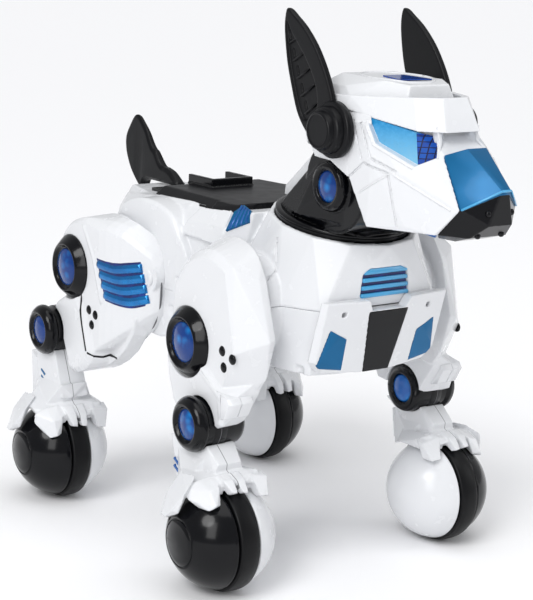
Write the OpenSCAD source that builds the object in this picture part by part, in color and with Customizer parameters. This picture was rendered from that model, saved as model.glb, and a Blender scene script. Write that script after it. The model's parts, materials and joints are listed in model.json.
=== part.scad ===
// Robot dog toy on four powered ball feet.
// +Z is up, the nose points along -Y and the dog's left side is +X.
// The origin is on the floor, below the middle of the overall length.

/* [Overall] */
// Radius of the foot tyres
tyre_r = 36; // [35:0.5:37]
// Distance between the front and rear axles
wheelbase = 214; // [212:1:216]
// Distance between the left and right feet
track = 179; // [177:1:181]
// How far the middle of the overall length lies ahead of the middle of the axles
length_shift = 44.5; // [42:0.5:46]

/* [Feet] */
// Radius of the half-ball foot shells
ball_r = 34.6; // [34:0.2:35]
// Width of the tyre
tyre_w = 14; // [13:0.5:14]
// Radius of the steel axle
axle_r = 2.5; // [2:0.5:3]
// Radial running clearance of every shaft in its bore
running_gap = 0.05; // [0.03:0.01:0.08]

/* [Legs] */
// Height of the hip axes
hip_z = 178; // [177:1:179]
// Radius of the round hip bosses on the body
boss_r = 41; // [40:0.5:42]
// Radius of the hip shafts
hip_shaft_r = 7; // [6:0.5:8]
// Radius of the knee drums
drum_r = 16.5; // [16:0.25:16.5]
// Radius of the knee pins
knee_pin_r = 4; // [3.5:0.5:4.5]

/* [Body] */
// Height of the seam between the upper and lower body shells
seam_z = 182; // [181:0.5:183]
// Wall thickness of the shells
wall = 3; // [2.5:0.25:3.5]

/* [Head] */
// Radius of the neck's round root inside the collar
neck_r = 43; // [42:0.5:44]
// Radius of the neck's round top, about which the head nods
nod_r = 29; // [28:0.5:30]

/* [Hidden] */

$fn = 64;
hair = 0.05;                      // gap between curved faces that rest on each other
foot_x = track / 2;
foot_y = wheelbase / 2;
disc_gap = 0.8;                   // gap between the tyre and each half ball
half_tyre = tyre_w / 2;
rail_w = 34;
bore_end = 25;                    // depth of the axle bores from the foot's centre
arc_steps = 10;
lens_steps = 5;

// Hip axes: the rear legs turn about rear_hip_y, the front legs about front_hip_y.
front_hip_y = -88;
rear_hip_y = 12;
boss_face = 66;                   // how far out the hip bosses reach
// Knee axes, as [y, z]
front_knee = [-88, 105];
rear_knee = [110, 125];
drum_in = 70;                     // the drums' inner and outer faces, measured from the middle
drum_out = 98;
shaft_end = 75.5;                 // how far out the hip shafts reach
tongue = [79, 87];                // the thigh's tongue inside the drum
bezel_in = 90;                    // the foot of the round bezels on the thighs
bezel_r = 22.7;
lens_in = 94.8;
lens_r = 13;
// Neck and head axes
collar = [0, -106, 234];          // centre of the collar ring
collar_tilt = 11;
nod = [0, -140, 258];
ear_axis = [0, -153, 294];
tail_pin = [0, 99, 0];
tail_pin_r = 6;

// The sizes below are laid out from the floor midway between the axles.
module from_axles() translate([0, length_shift, 0]) children();
// A shape drawn for the left side (+X), placed on side s.
module on_side(s) mirror([s < 0 ? 1 : 0, 0, 0]) children();
module both_sides() { children(); mirror([1, 0, 0]) children(); }
module along_x(x, r, len, r2 = -1) translate([x, 0, 0]) rotate([0, 90, 0])
    cylinder(r1 = r, r2 = r2 < 0 ? r : r2, h = len);
// The convex solid around a list of corners.
module solid(pts) hull() polyhedron(pts, [[for (i = [0:len(pts) - 1]) i]]);
// Corners on the left side together with their mirror images.
function paired(pts) = concat(pts, [for (p = pts) [-p.x, p.y, p.z]]);
// Corners moved in by w towards the point c.
function inset(pts, c, w) = [for (p = pts) p - [for (k = [0:2]) w * sign(p[k] - c[k])]];
// The same outline given as [y, z] pairs, at the distance x from the middle.
function at_x(x, outline) = [for (q = outline) [x, q[0], q[1]]];
module half_space(z0, z1) translate([-150, -300, z0]) cube([300, 600, z1 - z0]);

// ---------------------------------------------------------------- body shells
chest_top = [for (a = [0:30:330])
    collar + [48 * sin(a), 48 * cos(a) * cos(collar_tilt), -4 + 48 * cos(a) * sin(collar_tilt)]];
waist = [[22, -150], [46, -147], [60, -118], [62, -88], [60, -62]];
chest_waist = paired([for (q = waist) [q.x, q.y, 178]]);
back_top = paired([[47, -74, 233], [49, 40, 229], [44, 66, 225], [26, 120, 219],
                   [58, -60, 219], [58, 40, 216]]);
back_waist = paired([[60, -70, 178], [62, 46, 178], [50, 108, 178], [26, 134, 186], [26, 131, 208]]);
chest_low = paired(concat([for (q = waist) [q.x, q.y, 187]], [
                    [20, -136, 138], [44, -134, 139], [54, -112, 141], [50, -70, 141]]));
back_low = paired([[60, -80, 187], [62, 42, 187], [50, 108, 187], [26, 134, 187],
                   [46, -80, 141], [50, 44, 141], [38, 88, 146], [22, 118, 158]]);

module hip_bosses(r_front, r_rear, x0, x1) both_sides() {
    translate([0, front_hip_y, hip_z]) along_x(x0, r_front, x1 - x0);
    translate([0, rear_hip_y, hip_z]) along_x(x0, r_rear, x1 - x0);
}

module neck_well() translate(collar) rotate([collar_tilt, 0, 0])
    translate([0, 0, -16]) cylinder(r = neck_r + 0.5, h = 40);

module torso_upper() color("white") from_axles() difference() {
    union() {
        intersection() {
            union() {
                difference() {
                    union() {
                        solid(concat(chest_top, chest_waist));
                        solid(concat(back_top, back_waist));
                    }
                    solid(inset(concat(chest_top, chest_waist), [0, -105, 120], wall));
                    solid(inset(concat(back_top, back_waist), [0, 20, 120], wall));
                }
                hip_bosses(boss_r - 8, boss_r, 50, boss_face);
                neck_seat();
            }
            half_space(seam_z, 260);
        }
        rump();
    }
    neck_well();
    saddle_block(hair);
    hip_bosses(hip_shaft_r + 0.4, hip_shaft_r + 0.4, 40, boss_face + 1);
    grille_block();
    tail_slot();
    solid(plate_pts(5));
}
// A ring under the collar that the neck's root turns in.
module neck_seat() translate(collar) rotate([collar_tilt, 0, 0]) translate([0, 0, -18])
    cylinder(r = neck_r + 3, h = 14);
// The raised plate round the tail.
module rump() solid(paired([[40, 58, 220], [38, 60, 224.7], [28, 84, 224.3], [21, 122, 224], [24, 125, 216]]));
module tail_slot() from_tail() cylinder(r = tail_pin_r + 0.4, h = 24, center = true);
module from_tail() translate([0, tail_pin.y, 222]) children();

module torso_lower() color("white") from_axles() difference() {
    union() {
        intersection() {
            union() {
                difference() {
                    union() {
                        solid(chest_low);
                        solid(back_low);
                    }
                    solid(inset(chest_low, [0, -105, 230], wall));
                    solid(inset(back_low, [0, 20, 230], wall));
                }
                hip_bosses(boss_r - 8, boss_r, 50, boss_face);
            }
            half_space(120, seam_z);
        }
        hip_bosses(hip_shaft_r, hip_shaft_r, 52, shaft_end);
    }
    battery_opening(0);
    switch_slot();
    foot_screws();
    solid(plate_pts(5));
}
module foot_screws() for (x = [-1, 1], y = [-128, -76]) translate([x * 48, y, 137])
    cylinder(r = 3.2, h = 8);
module battery_opening(gap) translate([-30 + gap, -40 + gap, 130]) cube([60 - 2 * gap, 62 - 2 * gap, 20]);
module switch_slot() translate([-5, 38, 130]) cube([10, 20, 20]);

module chest_plate() color("white") from_axles() difference() {
    solid(plate_pts(5));
    solid(plate_notch());
    solid(stripe_pts());
    both_sides() {
        solid(inlay_pts());
        translate([31.5, -160, 179]) cube([3.4, 12, 3.4]);
    }
}
// Front face of the chest plate and, t behind it, its back face.
function plate_pts(t) = paired([
    [14, -158, 188], [47, -155, 189], [47, -144, 150], [40, -142, 142.5], [12, -144.5, 140],
    [14, -158 + t, 188], [49, -155 + t, 189], [50, -144 + t, 150], [43, -142 + t, 142.5],
    [12, -144.5 + t, 140]]);
function plate_notch() = paired([[13, -165, 181.5], [17, -165, 190], [13, -145, 181.5], [17, -145, 190]]);
function stripe_pts() = paired([[15.5, -165, 181], [10, -165, 139], [15.5, -155, 181], [10, -140.8, 139]]);
function inlay_pts() = [for (d = [-14, 0]) each [
    [28, -148.2 + d, 164], [41, -148.8 + d, 171], [46, -141.7 + d, 146], [27, -142.4 + d, 143]]];

module chest_stripe() color([0.04, 0.04, 0.05]) from_axles() intersection() {
    solid(stripe_pts());
    solid(plate_pts(5));
}

module blue_panels() color([0.05, 0.4, 0.75]) from_axles() {
    both_sides() intersection() {
        solid(inlay_pts());
        solid(plate_pts(5));
    }
    both_sides() flank_panel();
}
// Ribbed panel on the shoulder, ahead of the hip; a thin plate lying on the shell.
flank_corners = [[58, -60, 219.5], [49, -73, 226.5], [46, -71, 233], [44, -60, 235], [51, -59, 231]];
flank_normal = [0.7, -0.2, 0.65];
module flank_panel() difference() {
    solid([for (d = [-1, 1.6]) each [for (q = flank_corners) q + d * flank_normal]]);
    solid(concat(back_top, back_waist));
    solid(concat(chest_top, chest_waist));
}

function grille_pts(front, inset) = [for (y = [front, -146.5]) each [
    [-19, y + inset, 189], [19, y + inset, 189], [17, y, 204], [12, y, 207], [-12, y, 207], [-17, y, 204]]];
module grille_block() solid(grille_pts(-170, 0));
module speaker_grille() color([0.3, 0.65, 0.95]) from_axles() difference() {
    solid(grille_pts(-151, 0.6));
    for (z = [191.5:3.4:203]) translate([-15, -156, z]) cube([30, 7, 1.6]);
}

module saddle_block(g) solid(paired([[46 + g, -54 - g, 235], [34 + g, -59 - g, 236], [40 + g, 46 + g, 234],
    [53 + g, -54 - g, 228 - g], [40 + g, -60 - g, 228 - g], [45 + g, 52 + g, 228 - g]]));
module saddle() color([0.05, 0.05, 0.06]) from_axles() {
    difference() {
        union() {
            saddle_block(0);
            translate([-rail_w / 2, 20, 230]) cube([rail_w, 31, 10.5]);
        }
        translate([-rail_w / 2 + 3, 23, 234.9]) cube([rail_w - 6, 40, 12]);
    }
}

module battery_door() color([0.85, 0.85, 0.86]) from_axles() intersection() {
    battery_opening(0.3);
    half_space(141, 144);
}
module battery_pack() color([0.15, 0.35, 0.2]) from_axles() translate([-26, -36, 145]) cube([52, 54, 22]);
module circuit_board() color([0.05, 0.35, 0.15]) from_axles() translate([-40, -50, 190]) cube([80, 100, 1.6]);
module power_switch() color([0.1, 0.1, 0.1]) from_axles() {
    translate([-4.5, 41.5, 141.4]) cube([9, 7, 4]);
    translate([-2.5, 43.5, 138.5]) cube([5, 3, 3]);
}

// ---------------------------------------------------------------- tail
module tail() color([0.03, 0.03, 0.04]) from_axles() {
    difference() {
        rotate([90, 0, 90]) linear_extrude(9, center = true) tail_outline();
        both_sides() solid([[1.6, 200, 290], [6, 200, 290], [6, 140, 290], [6, 200, 225], [6, 110, 225]]);
    }
    from_tail() translate([0, 0, -8]) cylinder(r = tail_pin_r, h = 14);
}
module tail_outline() polygon([[88, 224.8], [88, 231], [97, 234.5], [106, 235], [107, 238], [114, 238],
    [119, 243], [121, 248], [128, 252], [133, 260], [140, 266], [145, 271.5], [153, 271.5], [160, 263],
    [164.8, 254], [162, 243], [155, 232], [148, 224], [142, 218], [138, 218], [135, 224.8]]);

// ---------------------------------------------------------------- neck
module neck() color([0.04, 0.04, 0.05]) from_axles() difference() {
    union() {
        translate(collar) rotate([collar_tilt, 0, 0]) translate([0, 0, -14]) cylinder(r = neck_r, h = 14);
        solid(paired([[32, -80, 238], [38, -106, 236], [32, -134, 230], [14, -147, 227], [12, -66, 242],
                      [26, -112, 268], [33, -128, 279], [33, -160, 270], [24, -165, 250], [34, -150, 236]]));
        translate(nod) along_x(-34, nod_r, 68);
        translate(nod) along_x(-40, 14, 80);
    }
    both_sides() translate(nod) along_x(38, 9.8, 5);
    spine_block();
}
module spine_block() solid(paired([[9, -62, 240], [9, -66, 247], [12, -110, 281], [12, -104, 284],
                                   [9, -55, 246], [9, -54, 240]]));
module neck_spine() color("white") from_axles() difference() {
    spine_block();
    translate(collar) rotate([collar_tilt, 0, 0]) translate([0, 0, -14]) cylinder(r = neck_r + hair, h = 14);
}
module neck_lenses() color([0.05, 0.2, 0.8]) from_axles() both_sides()
    translate(nod + [38, 0, 0]) lens(9.7, 2, 3);
// A clear dome along +X: a disc of radius r and depth d with a cap of height h.
module lens(r, d, h) rotate([0, 90, 0]) rotate_extrude() polygon(concat([[0, 0], [r, 0]],
    [for (k = [0:lens_steps]) let (q = r * (1 - k / lens_steps), big = (r * r + h * h) / (2 * h))
        [q, d + h - big + sqrt(big * big - q * q)]]));

// ---------------------------------------------------------------- head
face_low = [[42, -145, 275], [42, -163, 266], [40, -179, 239.5], [35, -208, 244], [29, -227, 241],
            [22, -239, 256], [16, -218, 285], [37, -202, 274.5], [43, -185, 278]];
module head_shell() color("white") from_axles() difference() {
    solid(paired(concat(face_low, [[28, -205, 279], [38, -110, 300], [42, -138, 308], [30, -105, 286],
        [36, -118, 270], [41, -176, 303], [27, -201, 296], [15, -207, 294], [41, -160, 306]])));
    head_cavity();
    eye_block();
    visor_band();
    both_sides() translate(nod) along_x(37, 16, 20);
    // open behind the cheeks, and notched where the neck's white strip slides in
    rotate([90, 0, 90]) linear_extrude(100, center = true)
        polygon([[-50, 190], [-50, 273], [-145, 274.6], [-164, 266.5], [-179, 239.5], [-185, 190]]);
    translate([-14, -128, 258]) cube([28, 40, 34]);
    half_space(299.95, 340);
    both_sides() eye_glass(eye_pts);
    solid(paired(bridge_pts));
    solid(paired(snout_pts));
}
module head_cavity() {
    translate(nod) along_x(-37.5, nod_r + 4, 75);
    solid(paired([[37.5, -190, 200], [37.5, -173, 260], [37.5, -120, 285], [37.5, -100, 275], [37.5, -60, 200]]));
    solid(paired([[30, -190, 250], [30, -150, 296], [30, -116, 296], [16, -205, 272], [20, -212, 250],
                  [36, -150, 280]]));
}
module eye_block() both_sides() solid([for (d = [0, 14]) each [for (p = eye_pts)
    p + [d, -d * 0.7, 0]]]);
eye_pts = [[36, -173, 303], [22.5, -200.5, 296], [13, -207, 294], [13, -212, 283.5], [23.5, -204, 278],
           [34, -181, 289]];
eye_back = [2.4, 1.7, 0];
module eye_glass(pts) solid([for (d = [0, 1]) each [for (p = pts) p - d * eye_back]]);
module eye_lenses() color([0.35, 0.75, 0.98]) from_axles() both_sides() difference() {
    eye_glass([eye_pts[0], eye_pts[1], eye_pts[4], eye_pts[5]]);
    visor_band();
}
module navy_windows() color([0.02, 0.1, 0.5]) from_axles() {
    both_sides() difference() {
        eye_glass([eye_pts[1], eye_pts[2], eye_pts[3], eye_pts[4]]);
        eye_glass([eye_pts[0], eye_pts[1], eye_pts[4], eye_pts[5]]);
        visor_band();
    }
    crown_window();
}
module crown_window() solid(paired([[12, -172, 321], [8, -150, 322], [12, -172, 323.9], [8, -150, 324.9]]));

module visor() color("white") from_axles() visor_band();
module visor_band() difference() {
    solid(paired([[43, -140, 309], [42.5, -158, 307], [37, -173, 303.2], [23.5, -202, 297], [13, -215, 297],
                  [42, -140, 314], [40, -160, 314.5], [21, -195, 315.5], [9, -207, 316]]));
    solid(paired([[40, -120, 290], [40, -156, 290], [34, -171, 290], [21, -199, 290], [10, -209, 290],
                  [38, -120, 318], [36, -156, 318], [18, -191, 318], [6, -203, 318]]));
}
module skull_cap() color("white") from_axles() difference() {
    solid(paired([[40, -118, 300], [42, -138, 300.2], [20, -104, 300], [36, -154, 313], [18, -186, 313],
                  [30, -118, 318], [33, -146, 319], [22, -170, 323.4], [15, -184, 321.5], [20, -126, 325],
                  [10, -112, 318]]));
    visor_band();
    solid(paired([[36, -122, 290], [34, -150, 308], [16, -180, 310], [26, -122, 314], [14, -176, 318],
                  [18, -128, 321], [14, -112, 290]]));
    crown_window();
}
bridge_pts = [[21, -240, 256.5], [3.4, -253.8, 268], [3.6, -222, 288], [16.5, -218.5, 285], [21, -237, 250],
              [3.4, -246, 250], [3.6, -215, 270], [16.5, -214, 270]];
snout_pts = [[21, -239.5, 256.4], [3.2, -252.5, 266.5], [9, -250, 248], [14, -240, 240], [12, -226, 236],
             [21, -222, 238], [26, -227, 241], [18, -218, 252]];
module nose_bridge() color([0.05, 0.45, 0.75]) from_axles() difference() {
    solid(paired(bridge_pts));
    solid(paired(snout_pts));
}
module snout() color([0.06, 0.06, 0.07]) from_axles() solid(paired(snout_pts));

// ---------------------------------------------------------------- ears
module ear(s) color([0.03, 0.03, 0.04]) from_axles() on_side(s) translate([0, ear_axis.y, ear_axis.z]) {
    along_x(43.4, 17, 5.1);
    along_x(48.5, 14, 6);
    along_x(54.5, 11.5, 4);
    difference() {
        translate([43.4, 0, 0]) rotate([90, 0, 90]) linear_extrude(4.4) polygon(ear_outline);
        for (k = [0:4]) translate([47.8, 39 - k * 6.4, 50 - k * 9.6]) rotate([-48, 0, 0]) {
            cube([2.4, 13, 1.2], center = true);
            translate([0, 6, -3]) cube([2.4, 2, 6], center = true);
        }
    }
}
ear_outline = [[-2, 12], [4, 25], [11, 37], [20, 48.5], [31, 58.5], [41, 64.5], [47, 68.5], [49.5, 67],
               [51, 60], [50, 50], [47, 36], [42, 22], [36, 8], [29, -1], [22, -6], [10, -10], [-2, -4]];

// ---------------------------------------------------------------- legs
// Each leg is drawn for the left side; f is -1 for a front leg and 1 for a rear leg.
function hip_y(f) = f < 0 ? front_hip_y : rear_hip_y;
function knee(f) = f < 0 ? front_knee : rear_knee;
function bezel_at(f) = f < 0 ? [-68.5, 153] : [86.5, 174.5];

// Outlines as [y, z]: the inner edge of each thigh shell, its outer face, and the arm below it.
front_shell = [[-48, 198], [-62, 214], [-88, 222], [-112, 216], [-125, 200], [-136, 166], [-126, 139],
               [-118, 128], [-60, 138], [-44, 168]];
front_face = [[-54, 192], [-70, 206], [-92, 211], [-112, 203], [-124, 188], [-133, 162.5], [-107, 128],
              [-80, 136], [-60, 148], [-50, 170]];
rear_shell = [[104, 158], [108, 176], [100, 196], [84, 206], [66, 213], [40, 212], [12, 196], [1, 176],
    [3, 156], [15, 138], [37, 122],
              [70, 140], [90, 170]];
rear_waist = [[20, 205], [7, 190], [0, 162], [13, 133], [36, 122]];
rear_face = [[100, 162], [106, 176], [99, 193], [88, 204], [67, 209], [53, 200], [42, 156], [54, 119],
    [74, 144], [92, 176]];
front_arm = [[-51, 136], [-53, 120], [-60, 106], [-94, 101.5], [-117, 124], [-113, 138], [-85, 150]];
front_arm_in = [[-51, 136], [-53, 120], [-60, 106], [-104, 105], [-122, 129], [-123, 138]];
rear_arm = [[75, 158], [96, 149], [107, 141], [98, 106], [76, 101], [57, 112], [57, 125]];
rear_arm_in = [[75, 158], [96, 149], [107, 141], [98, 106], [76, 101], [48, 110], [37, 122]];

module thigh(f, s) color("white") from_axles() on_side(s) difference() {
    union() {
        if (f < 0) solid(concat(at_x(70, front_shell), at_x(91, front_face)));
        else solid(concat(at_x(69, rear_shell), at_x(82, rear_waist), at_x(91, rear_face)));
        if (f < 0) solid(concat(at_x(71, front_arm_in), at_x(94, front_arm)));
        else solid(concat(at_x(71, rear_arm_in), at_x(94, rear_arm)));
        translate([0, hip_y(f), hip_z]) along_x(boss_face + 0.5, f < 0 ? 30 : 11, 6);
        knee_tongue(f);
    }
    translate([0, hip_y(f), hip_z]) along_x(boss_face, hip_shaft_r + running_gap, shaft_end - boss_face + 1);
    bezel_recess(f);
    dots(f, 0.02);
    if (f > 0) vent_block();
    knee_clearance(f);
    if (f > 0) shank_room(f);
}
module knee_tongue(f) translate([0, knee(f)[0], knee(f)[1]]) {
    along_x(tongue[0], 13.5, tongue[1] - tongue[0]);
    translate([tongue[0], -7, 0]) cube([tongue[1] - tongue[0], 14, 19]);
}
module knee_clearance(f) translate([0, knee(f)[0], knee(f)[1]]) {
    along_x(60, drum_r + 0.5, tongue[0] - 60 - 0.01);
    along_x(tongue[1] + 0.01, drum_r + 0.5, 20);
    along_x(drum_out - 0.5, 19, 20);
    along_x(60, knee_pin_r + running_gap, 40);
    difference() {
        along_x(60, drum_r + 0.5, 50);
        along_x(tongue[0], 13.5, tongue[1] - tongue[0]);
        translate([tongue[0], -7, 0]) cube([tongue[1] - tongue[0], 14, 19]);
    }
}
// Room below the rear knee for the top of the shank to swing.
module shank_room(f) translate([0, knee(f)[0], knee(f)[1]]) difference() {
    along_x(60, 29, 45);
    along_x(60, drum_r + 0.5, 60);
    translate([50, -40, -4]) cube([60, 80, 60]);
}
module bezel_recess(f) translate([0, bezel_at(f)[0], bezel_at(f)[1]]) along_x(bezel_in, bezel_r + 0.2, 30);
module hip_bezel(f, s) color([0.05, 0.05, 0.06]) from_axles() on_side(s) {
    difference() {
        translate([0, bezel_at(f)[0], bezel_at(f)[1]]) {
            along_x(bezel_in, bezel_r, 3.5);
            along_x(bezel_in + 3.5, bezel_r, 3.3, 17);
        }
        translate([0, bezel_at(f)[0], bezel_at(f)[1]]) along_x(lens_in, lens_r + 0.1, 10);
    }
    dots(f, 0);
}
module hip_lens(f, s) color([0.05, 0.25, 0.85]) from_axles() on_side(s) {
    translate([lens_in, bezel_at(f)[0], bezel_at(f)[1]]) lens(lens_r, 1, 2.2);
    if (f > 0) vent();
}
// Three round studs beside the bezel.
module dots(f, g) for (q = f < 0 ? [[-107, 155], [-118, 152], [-109, 145]] : [[61, 148], [52, 146], [57, 138]])
    translate([0, q[0], q[1]]) along_x(87 - g, 3.4 + g, 6);
module vent_block() solid(vent_pts);
vent_pts = [[88, 53, 187], [88, 43, 158], [78, 2, 164], [78, 7, 191],
                        [105, 53, 187], [105, 43, 158], [98, 2, 164], [98, 7, 191]];
module vent() difference() {
    intersection() {
        vent_block();
        solid(concat(at_x(69, rear_shell), at_x(82, rear_waist), at_x(91, rear_face)));
    }
    for (k = [0:3]) translate([88.5, 26, 165 + k * 6]) rotate([-5, 0, -14]) cube([4, 70, 1], center = true);
}

module knee_drum(f, s) color([0.05, 0.05, 0.06]) from_axles() on_side(s)
    translate([0, knee(f)[0], knee(f)[1]]) difference() {
        union() {
            difference() {
                union() {
                    along_x(drum_in, drum_r, drum_out - drum_in);
                    along_x(drum_out, 18, 6);
                    along_x(drum_out + 6, 18, 2.5, 14.5);
                }
                along_x(tongue[0] - 0.4, 14, tongue[1] - tongue[0] + 0.8);
                translate([tongue[0] - 0.4, 0, 0]) rotate([90, 0, 90]) linear_extrude(tongue[1] - tongue[0] + 0.8)
                    polygon([[-9, 2], [9, 2], [21, 16], [12, 24], [-12, 24], [-21, 16]]);
            }
            along_x(drum_in + 1, knee_pin_r, drum_out - drum_in - 2);
        }
        along_x(drum_out + 5.5, 11.6, 10);
    }
module knee_lens(f, s) color([0.05, 0.25, 0.85]) from_axles() on_side(s)
    translate([drum_out + 5.5, knee(f)[0], knee(f)[1]]) lens(11.5, 1.5, 3.5);

function foot(f) = [foot_x, f * foot_y, tyre_r];
// Toes as [x, tip y, tip z, half width], measured from the foot's centre; outwards is +x.
front_toes = [[21, -9, 27, 7], [7, -15, 33, 5.5], [-4, -17, 35, 4.5], [-17, -13, 33, 6]];
rear_toes = [[17, -27, 17, 7], [3, -28, 26, 5.5], [-7, -28, 25, 4.5], [-22, -18, 24, 6]];
module shank(f, s) color("white") from_axles() on_side(s) difference() {
    union() {
        solid(shank_pts(f));
        translate(foot(f)) {
            solid([[-13, -12, 51], [13, -12, 51], [-13, 22, 50], [14, 24, 50], [27, -2, 37], [26, 17, 33],
                   [-25, -4, 36], [-24, 16, 32], [18, -17, 45], [-15, -19, 44], [10, 25, 36], [-10, 25, 36]]);
            for (t = f < 0 ? front_toes : rear_toes) toe(t);
            solid([[21, 15, 41], [22, -1, 42], [31, -3, 35], [37.5, 4, 20], [36, 12, 17], [30, 17, 30],
                   [26, 6, 28], [33, 10, 16]]);
        }
    }
    translate(foot(f)) {
        ball_space();
        along_x(-half_tyre - disc_gap, tyre_r + 1.2, tyre_w + 2 * disc_gap);
    }
    translate([0, knee(f)[0], knee(f)[1]]) {
        along_x(60, drum_r + hair, 60);
        along_x(drum_out - 0.5, 18.5, 20);
    }
}
// The space that the two half balls fill, turned about the axle.
module ball_space() rotate([0, 90, 0]) rotate_extrude() polygon([for (a = [-90:9:90])
    (ball_r + 0.3) * [abs(a) < 90 ? cos(a) : 0, sin(a)]]);
module toe(t) solid([for (side = [-1, 1]) each [
    [t[0] + side * t[3], 2, 47], [t[0] + side * t[3], -18, 46], [t[0] + side * t[3], t[1] - 6, t[2] + 6],
    [t[0] + side * t[3] / 2, t[1] - 5, t[2]], [t[0] + side * t[3] / 2, t[1] + 3, t[2] - 3]]]);
function shank_pts(f) = let (k = knee(f), fy = f * foot_y, back = f < 0 ? 26 : 16,
                             top = f < 0 ? 14 : 9, low = fy - (f < 0 ? 5 : 20)) [
    [77, k[0] - top, k[1] - 12], [97, k[0] - top + 1, k[1] - 12], [77, k[0] + back - 2, k[1] - 12],
    [99, k[0] + back, k[1] - 13], [80, k[0], k[1] - 6], [96, k[0], k[1] - 6],
    [77, low, 78], [98, low, 78], [77, fy + 16, 78], [99, k[0] + back - 4, 78],
    [79, fy - 6, 84], [96, fy - 6, 84]];

module ball_outer(f, s) color([0.05, 0.05, 0.06]) from_axles() on_side(s) translate(foot(f)) half_ball(31);
module ball_inner(f, s) color("white") from_axles() on_side(s) translate(foot(f)) mirror([1, 0, 0]) half_ball(50);
// A half-ball shell along +X, cut flat at the distance cap, with a bored boss for the axle.
module half_ball(cap) rotate([0, 90, 0]) rotate_extrude() polygon(concat(
    ball_arc(ball_r, half_tyre + disc_gap, min(cap, ball_r)),
    [[0, min(cap, ball_r)], [0, bore_end], [axle_r + running_gap, bore_end],
     [axle_r + running_gap, half_tyre + disc_gap + 1], [6, half_tyre + disc_gap + 1],
     [6, min(cap, ball_r) - wall]],
    ball_arc(ball_r - wall, min(cap, ball_r) - wall, half_tyre + disc_gap)));
// Points on a circle of radius r between two distances along the axis.
function ball_arc(r, z0, z1) = let (a0 = asin(z0 / r), a1 = asin(min(1, z1 / r)))
    [for (k = [0:arc_steps]) let (a = a0 + (a1 - a0) * k / arc_steps)
        if (r * cos(a) > 6.5) [r * cos(a), r * sin(a)]];
module wheel(f, s) color([0.03, 0.03, 0.03]) from_axles() on_side(s) translate(foot(f)) {
    along_x(-half_tyre + 1.5, tyre_r, tyre_w - 3);
    along_x(half_tyre - 1.5, tyre_r, 1.5, tyre_r - 1.5);
    along_x(-half_tyre, tyre_r - 1.5, 1.5, tyre_r);
    along_x(-24, axle_r, 48);
}

torso_upper();
torso_lower();
chest_plate();
chest_stripe();
blue_panels();
speaker_grille();
saddle();
battery_door();
battery_pack();
circuit_board();
power_switch();
tail();
neck();
neck_spine();
neck_lenses();
head_shell();
visor();
skull_cap();
navy_windows();
eye_lenses();
nose_bridge();
snout();
ear(-1);  // ear_right
ear(1);  // ear_left
thigh(-1, -1);  // thigh_fr
thigh(-1, 1);  // thigh_fl
thigh(1, -1);  // thigh_rr
thigh(1, 1);  // thigh_rl
hip_bezel(-1, -1);  // hip_bezel_fr
hip_bezel(-1, 1);  // hip_bezel_fl
hip_bezel(1, -1);  // hip_bezel_rr
hip_bezel(1, 1);  // hip_bezel_rl
hip_lens(-1, -1);  // hip_lens_fr
hip_lens(-1, 1);  // hip_lens_fl
hip_lens(1, -1);  // hip_lens_rr
hip_lens(1, 1);  // hip_lens_rl
knee_drum(-1, -1);  // knee_drum_fr
knee_drum(-1, 1);  // knee_drum_fl
knee_drum(1, -1);  // knee_drum_rr
knee_drum(1, 1);  // knee_drum_rl
knee_lens(-1, -1);  // knee_lens_fr
knee_lens(-1, 1);  // knee_lens_fl
knee_lens(1, -1);  // knee_lens_rr
knee_lens(1, 1);  // knee_lens_rl
shank(-1, -1);  // shank_fr
shank(-1, 1);  // shank_fl
shank(1, -1);  // shank_rr
shank(1, 1);  // shank_rl
ball_outer(-1, -1);  // ball_outer_fr
ball_outer(-1, 1);  // ball_outer_fl
ball_outer(1, -1);  // ball_outer_rr
ball_outer(1, 1);  // ball_outer_rl
ball_inner(-1, -1);  // ball_inner_fr
ball_inner(-1, 1);  // ball_inner_fl
ball_inner(1, -1);  // ball_inner_rr
ball_inner(1, 1);  // ball_inner_rl
wheel(-1, -1);  // wheel_fr
wheel(-1, 1);  // wheel_fl
wheel(1, -1);  // wheel_rr
wheel(1, 1);  // wheel_rl
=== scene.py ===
import bpy
import bmesh
import math
from mathutils import Matrix, Vector
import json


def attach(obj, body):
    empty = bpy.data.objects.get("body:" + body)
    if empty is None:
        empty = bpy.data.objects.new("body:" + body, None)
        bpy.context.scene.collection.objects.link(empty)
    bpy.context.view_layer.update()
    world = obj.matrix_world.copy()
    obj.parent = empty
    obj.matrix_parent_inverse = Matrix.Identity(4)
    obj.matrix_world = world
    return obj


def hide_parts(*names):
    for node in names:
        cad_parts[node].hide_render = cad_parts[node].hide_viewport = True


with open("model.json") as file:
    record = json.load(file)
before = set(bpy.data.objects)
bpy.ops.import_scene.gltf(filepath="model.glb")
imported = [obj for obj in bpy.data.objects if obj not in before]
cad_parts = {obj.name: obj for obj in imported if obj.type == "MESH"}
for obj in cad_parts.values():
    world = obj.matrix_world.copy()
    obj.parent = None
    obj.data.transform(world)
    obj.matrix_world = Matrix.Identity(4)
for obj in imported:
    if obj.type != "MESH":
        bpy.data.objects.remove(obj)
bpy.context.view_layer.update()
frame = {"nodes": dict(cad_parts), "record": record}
nodes = frame["nodes"]

# The points below are laid out in millimetres from the floor midway between the axles, on the left
# side (+X); -Y is forwards. SHIFT is from there to the frame's own origin.
SHIFT = 44.5
FRONT, REAR = "f", "r"
SIDES = (("l", 1), ("r", -1))
TRACK_HALF, WHEELBASE_HALF, HIP_Z = 89.5, 107, 178
TYRE_R, BALL_R, BALL_GAP = 36, 34.6, 7.8
BEZEL = {FRONT: (-68.5, 153), REAR: (86.5, 174.5)}
KNEE = {FRONT: (-88, 105), REAR: (110, 125)}
DRUM_R, DRUM_RIM = 16.5, 97.4
HUB_FACE = 66.6
BEZEL_FACE = 90.2
FAR = 125
NOD = (0, -140, 258)
EAR = (-153, 294)
COLLAR, COLLAR_TILT = Vector((0, -106, 234)), math.radians(11)


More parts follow.
